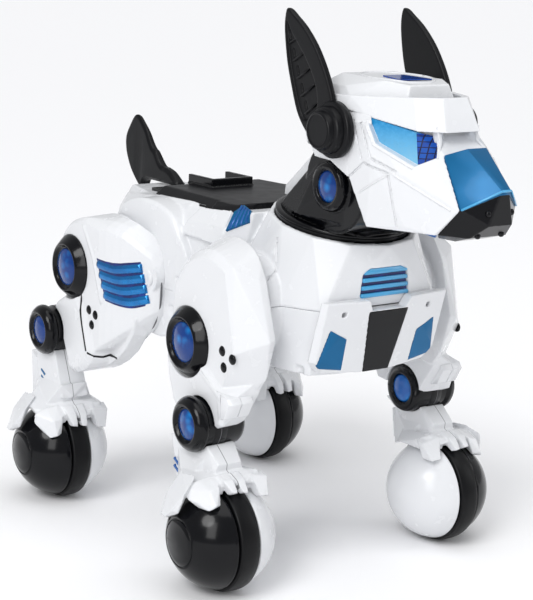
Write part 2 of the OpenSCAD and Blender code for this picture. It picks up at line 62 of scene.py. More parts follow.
def mm(x, y, z):
    return Vector((x, y + SHIFT, z)) * 0.001


# ------------------------------------------------------------------ camera, light, floor
def look_from(azimuth, elevation, roll, target, distance):
    """The camera's matrix; azimuth 0 looks along +Y, and the camera is on the target's side of it."""
    a, e, r = (math.radians(v) for v in (azimuth, elevation, roll))
    back = Vector((math.sin(a) * math.cos(e), -math.cos(a) * math.cos(e), math.sin(e)))
    right = Vector((math.cos(a), math.sin(a), 0))
    up = back.cross(right).normalized()
    x = right * math.cos(r) + up * math.sin(r)
    y = up * math.cos(r) - right * math.sin(r)
    m = Matrix((x, y, back)).transposed().to_4x4()
    m.translation = target + back * distance
    return m


def make_camera():
    data = bpy.data.cameras.new("camera")
    data.sensor_fit = "VERTICAL"
    data.sensor_height = 36
    data.lens = 97.56
    data.clip_start, data.clip_end = 0.05, 60
    ob = bpy.data.objects.new("camera", data)
    bpy.context.scene.collection.objects.link(ob)
    ob.matrix_world = look_from(-35.35, 12.16, 1.5, mm(17.3, 0.1, 155.5), 1.145)
    bpy.context.scene.camera = ob


def sun(name, azimuth, elevation, strength, spread):
    """A soft light that shines from the given direction; azimuth 0 is in front of the dog."""
    data = bpy.data.lights.new(name, "SUN")
    data.energy = strength
    data.angle = math.radians(spread)
    ob = bpy.data.objects.new(name, data)
    bpy.context.scene.collection.objects.link(ob)
    a, e = math.radians(azimuth), math.radians(elevation)
    way = Vector((math.sin(a) * math.cos(e), -math.cos(a) * math.cos(e), math.sin(e)))
    ob.rotation_euler = (-way).to_track_quat("-Z", "Y").to_euler()


def panel_light(name, place, target, size, watts):
    """A soft box, whose reflection also draws the highlights on the gloss black."""
    data = bpy.data.lights.new(name, "AREA")
    data.shape = "RECTANGLE"
    data.size, data.size_y = size
    data.energy = watts
    ob = bpy.data.objects.new(name, data)
    bpy.context.scene.collection.objects.link(ob)
    ob.location = Vector(place)
    ob.rotation_euler = (Vector(target) - Vector(place)).to_track_quat("-Z", "Y").to_euler()


def make_stage():
    mesh = bpy.data.meshes.new("floor")
    bm = bmesh.new()
    bmesh.ops.create_grid(bm, x_segments=2, y_segments=2, size=40)
    bm.to_mesh(mesh)
    floor = bpy.data.objects.new("floor", mesh)
    bpy.context.scene.collection.objects.link(floor)
    mat = bpy.data.materials.new("floor")
    mat.use_nodes = True
    shader = mat.node_tree.nodes["Principled BSDF"]
    shader.inputs["Base Color"].default_value = (0.96, 0.96, 0.97, 1)
    shader.inputs["Roughness"].default_value = 0.8
    shader.inputs["Specular IOR Level"].default_value = 0.1
    mesh.materials.append(mat)
    world = bpy.data.worlds.new("studio")
    bpy.context.scene.world = world
    world.use_nodes = True
    world.node_tree.nodes["Background"].inputs["Color"].default_value = (0.97, 0.98, 1, 1)
    world.node_tree.nodes["Background"].inputs["Strength"].default_value = 0.48
    sun("key", -66, 46, 1.2, 26)
    sun("top", 20, 80, 0.8, 50)
    panel_light("left_box", (-1.1, -0.9, 0.75), (0, 0, 0.15), (0.5, 0.9), 5)
    panel_light("right_box", (1.2, -0.8, 0.8), (0, 0, 0.15), (0.4, 0.8), 2.5)
    bpy.context.scene.view_settings.view_transform = "Standard"


# ------------------------------------------------------------------ materials
class Paint:
    """A material's node tree with short calls for the nodes used here."""

    def __init__(self, name, **sockets):
        self.mat = bpy.data.materials.new(name)
        self.mat.use_nodes = True
        self.tree = self.mat.node_tree
        self.shader = self.tree.nodes["Principled BSDF"]
        for key, value in sockets.items():
            socket = self.shader.inputs[key.replace("_", " ")]
            socket.default_value = (*value, 1) if isinstance(value, tuple) else value
        self.coords = self.tree.nodes.new("ShaderNodeTexCoord").outputs["Object"]

    def node(self, kind, inputs=(), **settings):
        n = self.tree.nodes.new("ShaderNode" + kind)
        for key, value in settings.items():
            setattr(n, key, value)
        for key, value in dict(inputs).items():
            if isinstance(value, bpy.types.NodeSocket):
                self.tree.links.new(value, n.inputs[key])
            else:
                n.inputs[key].default_value = value
        return n

    def noise(self, scale, detail=3.0, rough=0.55):
        return self.node("TexNoise", {"Vector": self.coords, "Scale": scale, "Detail": detail,
                                      "Roughness": rough}).outputs["Fac"]

    def ramp(self, fac, low, high, a, b):
        """fac from low to high becomes a to b."""
        return self.node("MapRange", {"Value": fac, "From Min": low, "From Max": high,
                                      "To Min": a, "To Max": b}).outputs["Result"]

    def mix(self, fac, a, b, blend="MIX"):
        n = self.node("Mix", data_type="RGBA", blend_type=blend)
        for key, value in ((0, fac), (6, a), (7, b)):
            if isinstance(value, bpy.types.NodeSocket):
                self.tree.links.new(value, n.inputs[key])
            else:
                n.inputs[key].default_value = (*value, 1) if isinstance(value, tuple) else value
        return n.outputs[2]

    def math(self, op, a, b=0.0, c=0.0):
        n = self.node("Math", operation=op)
        for k, value in enumerate((a, b, c)):
            if isinstance(value, bpy.types.NodeSocket):
                self.tree.links.new(value, n.inputs[k])
            else:
                n.inputs[k].default_value = value
        return n.outputs[0]

    def axis(self, name):
        return self.node("SeparateXYZ", {"Vector": self.coords}).outputs[name]

    def line(self, axis, place, half):
        """1 on a thin line where the coordinate is place, on either side of the middle."""
        out = self.math("ABSOLUTE", self.axis(axis))
        off = self.math("ABSOLUTE", self.math("SUBTRACT", out, place * 0.001))
        return self.ramp(off, half * 0.0007, half * 0.001, 1.0, 0.0)

    def set(self, key, socket):
        self.tree.links.new(socket, self.shader.inputs[key])

    def bump(self, height, distance, strength=0.5):
        n = self.node("Bump", {"Height": height, "Distance": distance, "Strength": strength})
        old = self.shader.inputs["Normal"]
        if old.is_linked:
            self.tree.links.new(old.links[0].from_socket, n.inputs["Normal"])
        self.set("Normal", n.outputs["Normal"])

    def edges(self, low=0.58, high=0.7):
        """1 along the convex edges, where a moulding wears."""
        pointy = self.node("NewGeometry").outputs["Pointiness"]
        return self.ramp(pointy, low, high, 0.0, 1.0)

    def corners(self, distance=0.008):
        """1 in the open, falling to 0 inside a corner."""
        return self.node("AmbientOcclusion", {"Distance": distance}, samples=6).outputs["AO"]


def moulded(name, colour, shade, rough, coat=0.0, grain=0.15, metal=0.0, rub=0.2, gloss=0.5, seams=(),
            corner_shade=0.4, vary=0.09):
    """A moulded plastic: even colour with slight mottling, painted shade in corners, rubbed edges and a fine
    surface.
    """
    p = Paint(name, Coat_Weight=coat, Coat_Roughness=0.06, Metallic=metal, Specular_IOR_Level=gloss)
    mottle = p.noise(38, 4)
    base = p.mix(p.ramp(mottle, 0.35, 0.65, 0.0, 1.0), colour, tuple(c * shade for c in colour))
    # Painted shade: the colour darkens towards half its value inside corners and recesses.
    if corner_shade:
        base = p.mix(p.ramp(p.corners(), 0.0, 0.7, corner_shade, 0.0), base, tuple(c * 0.5 for c in colour))
    wear = p.math("MULTIPLY", p.edges(), p.ramp(p.noise(160, 5), 0.45, 0.7, 0.0, rub))
    base = p.mix(wear, base, tuple(min(1, c * 1.2 + 0.02) for c in colour))
    for seam in seams:
        base = p.mix(p.line(*seam), base, tuple(c * 0.3 for c in colour))
    p.set("Base Color", base)
    fine = p.noise(700, 2)
    p.set("Roughness", p.math("ADD", p.ramp(p.noise(90, 4), 0.3, 0.7, rough * (1 - vary), rough * (1 + vary)),
                              p.math("MULTIPLY", wear, 0.15)))
    p.bump(fine, 0.0001, grain)
    return p


def lens_paint(name, deep, bright, rough=0.1):
    """A clear coloured dome over a moulded reflector."""
    p = Paint(name, Coat_Weight=0.35, Coat_Roughness=0.02, Specular_IOR_Level=0.25)
    cells = p.node("TexVoronoi", {"Vector": p.coords, "Scale": 150.0}).outputs["Distance"]
    cloud = p.math("MULTIPLY", p.ramp(cells, 0.0, 0.6, 1.0, 0.0), p.ramp(p.noise(70, 3), 0.4, 0.62, 0.0, 1.0))
    p.set("Base Color", p.mix(cloud, deep, bright))
    p.set("Roughness", p.ramp(p.noise(120), 0.3, 0.7, rough, rough * 2))
    return p


def vent_paint():
    """Vacuum-metallised blue plastic, with the marks of its cells."""
    p = Paint("vent_blue", Metallic=0.7, Coat_Weight=0.5, Coat_Roughness=0.04)
    cell = p.ramp(p.node("TexVoronoi", {"Vector": p.coords, "Scale": 210.0}, feature="DISTANCE_TO_EDGE")
                  .outputs["Distance"], 0.0, 0.06, 1.0, 0.0)
    base = p.mix(p.ramp(p.noise(60, 4), 0.35, 0.65, 0.0, 1.0), (0.001, 0.12, 0.38), (0.002, 0.2, 0.54))
    base = p.mix(p.math("MULTIPLY", cell, p.ramp(p.noise(45), 0.5, 0.6, 0.0, 0.5)), base, (0.002, 0.05, 0.2))
    p.set("Base Color", base)
    p.set("Roughness", p.ramp(p.noise(90, 4), 0.3, 0.7, 0.13, 0.26))
    p.bump(p.noise(300, 3), 0.0002, 0.25)
    return p


def frost_paint():
    """The light part of the eyes: frosted blue over a pale reflector, darker towards the top."""
    p = Paint("eye_frost", Coat_Weight=0.3, Coat_Roughness=0.08, Specular_IOR_Level=0.3)
    fade = p.ramp(p.axis("Z"), 0.281, 0.300, 0.0, 1.0)
    base = p.mix(fade, (0.2, 0.5, 0.72), (0.012, 0.25, 0.54))
    grain = p.noise(420, 4)
    base = p.mix(p.ramp(grain, 0.45, 0.7, 0.0, 0.5), base, (0.1, 0.42, 0.72))
    p.set("Base Color", base)
    p.set("Roughness", p.ramp(grain, 0.3, 0.7, 0.25, 0.45))
    p.bump(grain, 0.0002, 0.3)
    return p


def grid_paint():
    """The dark part of the eyes: a lamp grid seen through navy plastic."""
    p = Paint("eye_grid", Coat_Weight=0.35, Coat_Roughness=0.03, Specular_IOR_Level=0.3)
    flat = p.node("CombineXYZ", {"X": p.axis("Y"), "Y": p.axis("Z"), "Z": 0.0}).outputs["Vector"]
    brick = p.node("TexBrick", {
        "Vector": flat, "Scale": 1000.0, "Mortar Size": 0.32, "Mortar Smooth": 0.3, "Brick Width": 3.0,
        "Row Height": 3.2, "Color1": (0.002, 0.08, 0.42, 1), "Color2": (0.001, 0.04, 0.3, 1),
        "Mortar": (0.001, 0.004, 0.04, 1)}, offset=0.0)
    p.set("Base Color", brick.outputs["Color"])
    p.set("Roughness", p.ramp(p.noise(120), 0.3, 0.7, 0.12, 0.25))
    p.bump(brick.outputs["Fac"], 0.0004, -0.4)
    return p


def make_materials():
    made = {}
    white = (0.735, 0.745, 0.765)
    # The whites get only slight edge wear and no painted corner shade.
    slight_wear_no_corner_shade = dict(rub=0.02, gloss=0.4, corner_shade=0, vary=0.02)
    made["white_plastic"] = moulded("white_plastic", white, 0.995, 0.27, 0.15, 0.03, **slight_wear_no_corner_shade)
    made["white_split"] = moulded("white_split", white, 0.995, 0.27, 0.15, 0.03, **slight_wear_no_corner_shade,
                                  seams=[("X", TRACK_HALF, 0.28)])
    made["black_gloss"] = moulded("black_gloss", (0.0014, 0.0016, 0.0028), 0.8, 0.18, 0.12, 0.04, gloss=0.2)
    made["black_matt"] = moulded("black_matt", (0.0026, 0.0028, 0.004), 0.75, 0.38, 0.0, 0.4, gloss=0.2)
    made["tyre_rubber"] = moulded("tyre_rubber", (0.0026, 0.0027, 0.0035), 0.8, 0.42, 0.0, 0.5, gloss=0.2)
    made["blue_metallic"] = moulded("blue_metallic", (0.0015, 0.12, 0.29), 0.88, 0.36, 0.08, 0.1, 0.3,
                                    rub=0.05, gloss=0.28)
    made["blue_lens"] = lens_paint("blue_lens", (0.0, 0.035, 0.2), (0.0, 0.22, 0.62))
    made["light_blue"] = moulded("light_blue", (0.06, 0.36, 0.66), 0.9, 0.3, 0.3, 0.1, rub=0.05)
    made["navy_lens"] = lens_paint("navy_lens", (0.001, 0.008, 0.1), (0.004, 0.04, 0.3))
    made["battery"] = moulded("battery", (0.1, 0.25, 0.15), 0.8, 0.5)
    made["board"] = moulded("board", (0.02, 0.2, 0.08), 0.8, 0.4)
    made["vent"] = vent_paint()
    made["frost"] = frost_paint()
    made["grid"] = grid_paint()
    made["inner_lens"] = lens_paint("inner_lens", (0.004, 0.10, 0.40), (0.012, 0.2, 0.6))
    # Grey for the knee's seam ring, and painted shade for the rear hip gap.
    made["grey_seam_and_gap_shade"] = moulded("grey_seam_and_gap_shade", (0.12, 0.12, 0.13), 0.8, 0.4)
    made["panel_blue"] = moulded("panel_blue", (0.004, 0.1, 0.36), 0.8, 0.28, 0.3, 0.1, 0.2,
                                 rub=0.05, gloss=0.4)
    return made


def wear(ob, paint):
    ob.data.materials.clear()
    ob.data.materials.append(paint.mat)


# ------------------------------------------------------------------ mesh tools
def new_object(name, mesh):
    ob = bpy.data.objects.new(name, mesh)
    bpy.context.scene.collection.objects.link(ob)
    return ob


def as_mesh(bm):
    bmesh.ops.recalc_face_normals(bm, faces=bm.faces)
    mesh = bpy.data.meshes.new("made")
    bm.to_mesh(mesh)
    bm.free()
    return mesh


def hull(points):
    """The convex solid around points given in millimetres, as a mesh."""
    bm = bmesh.new()
    for p in points:
        bm.verts.new(mm(*p))
    made = bmesh.ops.convex_hull(bm, input=bm.verts)
    inner = [g for g in made["geom_interior"] if isinstance(g, bmesh.types.BMVert)]
    bmesh.ops.delete(bm, geom=inner, context="VERTS")
    return as_mesh(bm)


def paired(points):
    return list(points) + [(-x, y, z) for x, y, z in points]


def about(centre, points):
    return [(centre[0] + x, centre[1] + y, centre[2] + z) for x, y, z in points]


def curve(points, steps=5, closed=True):
    """Points of a smooth line through the given ones."""
    pts = [Vector(p) for p in points]
    n = len(pts)
    out = []
    for i in range(n if closed else n - 1):
        near = [(i + k) % n if closed else min(max(i + k, 0), n - 1) for k in (-1, 0, 1, 2)]
        p0, p1, p2, p3 = (pts[k] for k in near)
        for s in range(steps):
            t = s / steps
            out.append(tuple(0.5 * (2 * p1 + (p2 - p0) * t + (2 * p0 - 5 * p1 + 4 * p2 - p3) * t * t
                                    + (3 * p1 - p0 - 3 * p2 + p3) * t ** 3)))
    if not closed:
        out.append(tuple(pts[-1]))
    return out


def at_x(x, outline):
    return [(x, y, z) for y, z in outline]


def loft(sections):
    """A closed skin through rings with the same number of points."""
    bm = bmesh.new()
    rings = [[bm.verts.new(mm(*p)) for p in ring] for ring in sections]
    n = len(rings[0])
    for a, b in zip(rings, rings[1:]):
        for k in range(n):
            bm.faces.new((a[k], a[(k + 1) % n], b[(k + 1) % n], b[k]))
    ends = [bm.faces.new(rings[0]), bm.faces.new(rings[-1])]
    bmesh.ops.triangulate(bm, faces=ends, ngon_method="EAR_CLIP")
    return as_mesh(bm)


def tube(path, radii, sides=12):
    """A round bar along a line of points; radii gives its half width across and upright at each."""
    rings = []
    for k, p in enumerate(path):
        ahead = Vector(path[min(k + 1, len(path) - 1)]) - Vector(path[max(k - 1, 0)])
        ahead.normalize()
        side = ahead.cross(Vector((0, 0, 1)) if abs(ahead.z) < 0.95 else Vector((0, 1, 0))).normalized()
        up = side.cross(ahead)
        a, b = radii[k] if isinstance(radii, list) else radii
        rings.append([tuple(Vector(p) + side * (a * math.cos(t)) + up * (b * math.sin(t)))
                      for t in (math.tau * j / sides for j in range(sides))])
    return loft(rings)


def strip(a, b, normal, width, depth, height, taper=1.0):
    """A bar from a to b on a surface with that normal, from depth below it to height above it."""
    a, b, n = Vector(a), Vector(b), Vector(normal).normalized()
    side = (b - a).cross(n).normalized() * width / 2
    return hull([tuple(p + s * side * (taper if h > 0 else 1) + n * h)
                 for p in (a, b) for s in (-1, 1) for h in (-depth, height)])


def strips(line, normal, width, depth, height, taper=1.0):
    return [strip(a, b, normal, width, depth, height, taper) for a, b in zip(line, line[1:])]


def lathe(profile, centre, segments=64, axis="x", tilt=0.0):
    """Turns a closed outline of (distance along the axis, radius) about the line through centre."""
    bm = bmesh.new()
    rings = []
    for x, r in profile:
        ring = []
        for k in range(1 if r < 1e-6 else segments):
            t = math.tau * k / segments
            p = Vector((x, r * math.cos(t), r * math.sin(t)))
            if axis == "z":
                p = Matrix.Rotation(tilt, 3, "X") @ Vector((p.y, p.z, p.x))
            ring.append(bm.verts.new(mm(*(Vector(centre) + p))))
        rings.append(ring)
    for a, b in zip(rings, rings[1:] + rings[:1]):
        if len(a) == 1 and len(b) == 1:
            continue
        for k in range(segments):
            n = (k + 1) % segments
            corners = [a[k % len(a)], a[n % len(a)], b[n % len(b)], b[k % len(b)]]
            corners = [c for i, c in enumerate(corners) if c not in corners[:i]]
            bm.faces.new(corners)
    return as_mesh(bm)


def disc(centre, r, x0, x1, segments=48):
    return lathe([(x0, 0), (x0, r), (x1, r), (x1, 0)], centre, segments)


def dome(centre, r, base, height, steps=7):
    """A lens along +X: r wide, standing on a disc of depth base."""
    big = (r * r + height * height) / (2 * height)
    arc = [(base + height - big + math.sqrt(big * big - q * q), q)
           for q in (r * (1 - k / steps) for k in range(steps + 1))]
    return lathe([(0, 0), (0, r)] + arc, centre)


def modify(ob, kind, **settings):
    m = ob.modifiers.new(kind.lower(), kind)
    for key, value in settings.items():
        setattr(m, key, value)
    return m


def applied(ob):
    """The object's mesh with its modifiers, put in its place."""
    view = bpy.context.evaluated_depsgraph_get()
    view.update()
    mesh = bpy.data.meshes.new_from_object(ob.evaluated_get(view))
    ob.modifiers.clear()
    ob.data = mesh
    return ob


def smooth_faces(ob):
    for p in ob.data.polygons:
        p.use_smooth = True


def carve(ob, meshes, how="DIFFERENCE"):
    for mesh in meshes:
        tool = new_object("tool", mesh)
        modify(ob, "BOOLEAN", operation=how, object=tool, solver="MANIFOLD")
        applied(ob)
        bpy.data.objects.remove(tool)
    return ob


def joined(name, meshes):
    """Separate shells in one object, for parts that only lie together."""
    bm = bmesh.new()
    for mesh in meshes:
        bm.from_mesh(mesh)
    return new_object(name, as_mesh(bm))


def with_more(ob, meshes):
    """The object with further shells in its mesh."""
    bm = bmesh.new()
    for mesh in [ob.data] + meshes:
        bm.from_mesh(mesh)
    ob.data = as_mesh(bm)
    return ob


def crisp(ob, width=0.4, segments=2, angle=30):
    """Turned and flat-sided pieces keep their shape and get a small round on each edge."""
    modify(ob, "BEVEL", width=width * 0.001, segments=segments, limit_method="ANGLE",
           angle_limit=math.radians(angle))
    modify(ob, "WEIGHTED_NORMAL", weight=60)
    applied(ob)
    smooth_faces(ob)
    return ob


def moulding(name, adds, cuts=(), voxel=0.9, soften=5, keep=0.4):
    """One rounded moulding from overlapping solids: joined, cut, remeshed finely and softened."""
    ob = new_object(name, adds[0])
    carve(ob, adds[1:], "UNION")
    carve(ob, cuts)
    return soften_shell(ob, voxel, soften, keep)


def soften_shell(ob, voxel, soften, keep):
    """Remeshes to voxels of that size in mm, smooths, and keeps that share of the faces."""
    modify(ob, "REMESH", mode="VOXEL", voxel_size=voxel * 0.001)
    modify(ob, "SMOOTH", factor=0.5, iterations=soften)
    applied(ob)
    modify(ob, "DECIMATE", ratio=keep)
    modify(ob, "WEIGHTED_NORMAL", weight=60)
    applied(ob)
    smooth_faces(ob)
    return ob


def flipped(mesh):
    """The mesh turned into its mirror image about x = 0."""
    mesh.transform(Matrix.Scale(-1, 4, Vector((1, 0, 0))))
    mesh.flip_normals()
    return mesh


def mirrored(ob, name):
    return new_object(name, flipped(ob.data.copy()))


make_camera()
make_stage()
paints = make_materials()

slot_of = {s["node"]: s["material_slot"] for s in frame["record"]["subparts"]}
body_of = {n: b for b, members in frame["record"]["behaviour"]["bodies"].items() for n in members}


def finish_piece(ob, body, slot, *stands_for, paint=None):
    wear(ob, paints[paint or slot])
    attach(ob, body)
    if stands_for:
        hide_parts(*stands_for)
    return ob


def pair(ob, label, end, node, slot, replaces=(), paint=None):
    """The left leg's piece and its mirror image, each riding with that leg's node."""
    for side, sign in SIDES:
        leg = end + side
        piece = ob if sign > 0 else mirrored(ob, f"{label}_{leg}")
        piece.name = f"{label}_{leg}"
        finish_piece(piece, body_of[f"{node}_{leg}"], slot, *[f"{r}_{leg}" for r in replaces], paint=paint)


def soft_copy(node, label, voxel, soften, keep, cuts=(), adds=()):
    """The CAD solid as a rounded moulding, with what it lacks added or cut."""
    ob = new_object(label, nodes[node].data.copy())
    modify(ob, "WELD", merge_threshold=0.00001)
    applied(ob)
    carve(ob, adds, "UNION")
    carve(ob, cuts)
    return soften_shell(ob, voxel, soften, keep)


def onto(ob, line, normal, step=3.0):
    """Points along a line of corners, each dropped on the object's skin against the normal."""
    n = Vector(normal).normalized()
    out = []
    for a, b in zip(line, line[1:]):
        a, b = Vector(a), Vector(b)
        count = max(1, round((b - a).length / step))
        out += [a.lerp(b, k / count) for k in range(count)]
    out.append(Vector(line[-1]))
    placed = []
    for p in out:
        hit, place, _, _ = ob.ray_cast(mm(*(p + n * 25)), -n, distance=0.05)
        placed.append(Vector((place.x * 1000, place.y * 1000 - SHIFT, place.z * 1000)) if hit else p)
    return placed


def cut_lines(ob, lines, width, depth):
    """Grooves along lines on the skin, each given with its normal."""
    tools = []
    for normal, line in lines:
        tools += strips(onto(ob, line, normal), normal, width, depth, 1.5)
    return carve(ob, tools)


def both(points):
    """A hull on the left side and its mirror image."""
    return [hull(points), hull([(-x, y, z) for x, y, z in points])]


# ------------------------------------------------------------------ legs
BEZEL_PROFILE = [(-1.5, 12.95), (-1.5, 22.2), (0.2, 22.8), (0.9, 22.7), (1.5, 22.3), (4.2, 19.9), (6.0, 18.3),
                 (6.9, 17.2), (7.2, 16.4), (7.0, 15.7), (6.3, 15.0), (5.4, 14.2), (5.0, 13.4), (4.9, 12.95)]
DOTS = {FRONT: [(-107, 155), (-118, 152), (-109, 145)], REAR: [(61, 148), (52, 146), (57, 138)]}
# The bulging front of the rear thigh: y, how far out it reaches there, and its top and bottom.
BARREL = [(54, 91.1, 204, 120), (47, 91.0, 206, 122), (40, 90.0, 206.5, 125), (33, 88.2, 206, 129),
          (26, 85.8, 204, 134), (19, 82.4, 200, 139), (12, 78.0, 195, 146), (7, 73.6, 191, 150),
          (3, 69, 187, 153)]


def barrel_x(y):
    """How far out the front of the rear thigh reaches at y."""
    for (y1, x1, _, _), (y0, x0, _, _) in zip(BARREL, BARREL[1:]):
        if y0 <= y <= y1:
            return x0 + (x1 - x0) * (y - y0) / (y1 - y0)
    return BARREL[0][1] if y > BARREL[0][0] else BARREL[-1][1]


def knee_room(end):
    ky, kz = KNEE[end]
    return [disc((0, ky, kz), DRUM_R + 0.5, 60, 98), disc((0, ky, kz), 19, DRUM_RIM + 0.1, FAR)]


def bezel_room(end):
    return [disc((0, *BEZEL[end]), 23.0, BEZEL_FACE, FAR)]


def front_thigh():
    arc_in = curve([(-46, 194), (-62, 213), (-88, 222), (-111, 216), (-123, 200)], 5, closed=False)
    arc_out = curve([(-52, 188), (-68, 204), (-90, 210), (-108, 204)], 5, closed=False)
    rim = curve([(-50, 191), (-66, 208), (-90, 215), (-112, 207)], 5, closed=False)
    low = [(-106, 128), (-80, 136), (-60, 148), (-49, 168)]
    shell = hull(at_x(70, arc_in + [(-134, 165), (-126, 139), (-117, 128), (-60, 138), (-44, 168)])
                 + at_x(75, [(-122, 201), (-135, 163.5), (-118, 129)]) + at_x(87.5, rim)
                 + at_x(91, arc_out + [(-119.5, 155)] + low))
    arm = hull(at_x(71, [(-50, 140), (-53, 120), (-61, 107), (-103, 105), (-120, 129), (-121, 138),
                         (-70, 146)])
               + at_x(92.5, [(-46, 150), (-49, 128), (-55, 112), (-62, 105), (-96, 101), (-112, 108),
                             (-118, 124), (-113, 128), (-86, 143)])
               + at_x(94.3, [(-48, 146), (-51, 128), (-57, 113), (-63, 107), (-95, 103), (-109, 109),
                             (-114.5, 124), (-112, 126), (-87, 141)]))
    room = knee_room(FRONT) + bezel_room(FRONT) + [disc((0, -104, 141), 3.4, 60, 73)]
    return moulding("thigh_f", [shell, arm, disc((0, -88, HIP_Z), 30, HUB_FACE, 73)], room, 0.65, 2, 0.35)


def forearm_clip():
    """The bevelled band across the top of the forearm and the clip's plate at its front corner."""
    band = strip((93.8, -87.5, 138), (93.8, -112, 124.5), (1, 0, 0), 4.5, 2, 0.9, 0.6)
    plate = [(-107, 130), (-120, 127.5), (-122.2, 124), (-116.5, 114), (-110, 112)]
    clip = hull(at_x(77, plate) + at_x(92.2, plate) + at_x(94.6, [(y + 1.2, z) for y, z in plate]))
    ob = crisp(joined("clip", [band, clip]), 0.5, 3)
    return cut_lines(ob, [((0, -1, 0), [(86, -123, 130), (85, -118, 112)]),
                          ((1, 0, 0), [(94, -111.5, 131), (94, -112, 111)])], 0.7, 0.6)


def rear_thigh():
    shell_in = curve([(104, 158), (108, 176), (100, 196), (84, 207), (66, 214), (40, 213), (12, 198),
                      (1, 178)], 4, closed=False)
    rim = curve([(102, 160), (108, 176), (102, 194), (89, 206.5), (67, 212), (54, 207)], 4, closed=False)
    face = curve([(100, 160), (106, 176), (100, 193), (88, 204), (67, 209), (54, 203)], 4, closed=False)
    points = at_x(69, shell_in + [(3, 156), (15, 138), (37, 122), (70, 140), (90, 170)])
    points += at_x(88, rim)
    points += at_x(91, face + [(54, 119), (74, 144)])
    for y, x, top, low in BARREL:
        points += [(x - inset, y, top + up) for inset, up in ((0, 0), (2.5, 3.5), (7, 6.5), (14, 8.5))]
        points += [(x, y, low + 3), (x - 3, y, low), (x - 8, y, low - 1.5)]
    arm = hull(at_x(71, curve([(75, 158), (96, 149), (107, 141), (103, 118), (94, 104), (76, 101), (52, 108),
                               (43, 120)], 3))
               + at_x(91.5, curve([(75, 158), (97, 150), (109, 141), (104, 116), (94, 103), (76, 99.5),
                                   (57, 110), (55, 126)], 3))
               + at_x(94.2, curve([(76, 155), (95, 148), (106, 140), (102, 116), (92, 106), (76, 103),
                                   (61, 113), (60, 126)], 3)))
    lip = hull(at_x(71, [(60, 104), (50, 108), (38, 114.5), (26, 123.5), (15, 136), (12, 150), (50, 126)])
               + at_x(81, [(60, 105.5), (50, 109.5), (38, 116.5), (27, 125.5), (17, 138), (14, 150),
                           (50, 127)]))
    ridge = [strip(a, b, (1, 0.1, 0), 3.6, 2, 1.1, 0.5) for a, b in
             (((91, 69, 206.5), (91, 55, 186)), ((91, 55, 186), (90.6, 44, 156)))]
    ky, kz = KNEE[REAR]
    swing = hull([(x, ky + a, kz + b) for x in (60, 105)
                  for a, b in ((-17, -4), (-23.5, -18), (-28, -34), (20, -34), (29, -4))])
    return moulding("thigh_r", [hull(points), arm, lip] + ridge + [disc((0, 12, HIP_Z), 11, HUB_FACE, 73)],
                    knee_room(REAR) + bezel_room(REAR) + [swing], 0.7, 3, 0.35)


def vent_line(f, out):
    """A line across the vent at height f, from 0 at its lower edge to 1 at its upper edge."""
    ends = [(40 + 10 * f, 159 + 27 * f), (29 + 12 * f, 157.3 + 28 * f), (18 + 14 * f, 157 + 28 * f),
            (7.5 + 5 * f, 160.5 + 28 * f)]
    return [(barrel_x(y) + out, y, z) for y, z in curve(ends, 5, closed=False)]


def knee_parts(end):
    ky, kz = KNEE[end]
    profile = [(71.6, 0), (71.6, 9.4), (70.4, 9.8), (69.4, 10.6), (69.0, 11.8), (69.2, 13.2), (70.2, 15.0),
               (71.8, 16.0), (73.5, 16.3), (83.6, 16.3), (83.9, 16.75), (92.6, 16.75), (92.9, 16.3),
               (DRUM_RIM, 16.3), (97.9, 17.0), (98.9, 17.8), (100.4, 18.0), (102.4, 17.5), (104.2, 16.2),
               (105.5, 14.4), (106.1, 12.6), (105.8, 11.6), (104.9, 11.0), (104.1, 10.4), (104.0, 9.9),
               (103.2, 9.9), (103.2, 0)]
    drum = crisp(new_object("drum", lathe(profile, (0, ky, kz))), 0.15)
    pair(drum, "drum_shell", end, "shank", "black_gloss", ["knee_drum"])
    lens = new_object("lens", dome((103.0, ky, kz), 9.95, 0.9, 2.0))
    smooth_faces(crisp(lens, 0.15))
    pair(lens, "drum_glass", end, "shank", "blue_lens", ["knee_lens"])
    back = new_object("lens", dome((0, ky, kz), 9.3, 0.8, 1.4))
    flipped(back.data).transform(Matrix.Translation((0.0716, 0, 0)))
    smooth_faces(back)
    pair(back, "knee_inner_lens", end, "shank", "blue_lens", paint="inner_lens")
    ring = new_object("ring", lathe([(88.4, 16.4), (88.4, 16.88), (88.8, 16.88), (88.8, 16.4)], (0, ky, kz)))
    pair(ring, "knee_seam", end, "shank", "black_gloss", paint="grey_seam_and_gap_shade")


# The front paw's solids from the foot's centre; the rear paw is the same one, tipped forwards.
PAW = [
    [(27, 2, 36), (20, -4, 39), (7.5, -8, 42.5), (-1.5, -4, 44), (-20, -10, 42.5), (-25, -2, 38),
     (-24, 16, 33), (26, 17, 33), (14, 24, 40), (-13, 22, 40), (10, 26, 33), (-10, 26, 33), (24, -8, 31),
     (-23, -12, 33), (6, -16, 38), (-6, -17, 38)],
    [(12, -5, 42), (20.5, -3, 40), (28, -2, 35), (29, -5, 30), (12, -16, 38), (19, -17, 36.5), (26, -13, 29),
     (18.5, -23, 28), (22, -20, 25), (13.5, -20, 27.5), (16, -12, 24), (24, -10, 25)],
    [(9.5, -8, 42.5), (2, -9, 43.5), (9, -16, 40.5), (2.2, -17, 41), (6.8, -23.5, 35), (3, -23.5, 34.5),
     (7.2, -17, 31.5), (2.6, -17, 31.5)],
    [(1, -9, 43.5), (-6, -9, 43.5), (0.8, -17, 40.5), (-6, -17, 40.5), (-1, -23.5, 34), (-4.8, -23.5, 33.5),
     (-0.6, -16, 31), (-5.4, -16, 31)],
    [(-12, -8, 43), (-25.5, -6, 40), (-12, -14, 41.5), (-25.5, -13, 38.5), (-15.5, -21, 28.5),
     (-22.5, -20, 27.5), (-14.5, -13, 27), (-24.5, -12, 28)],
    [(14, -8, 41), (-14, -9, 43), (14, -14, 38.5), (-14, -14, 41), (14, -14, 31), (-14, -13, 32)]]
PAW_TIP = {FRONT: 0, REAR: 20}
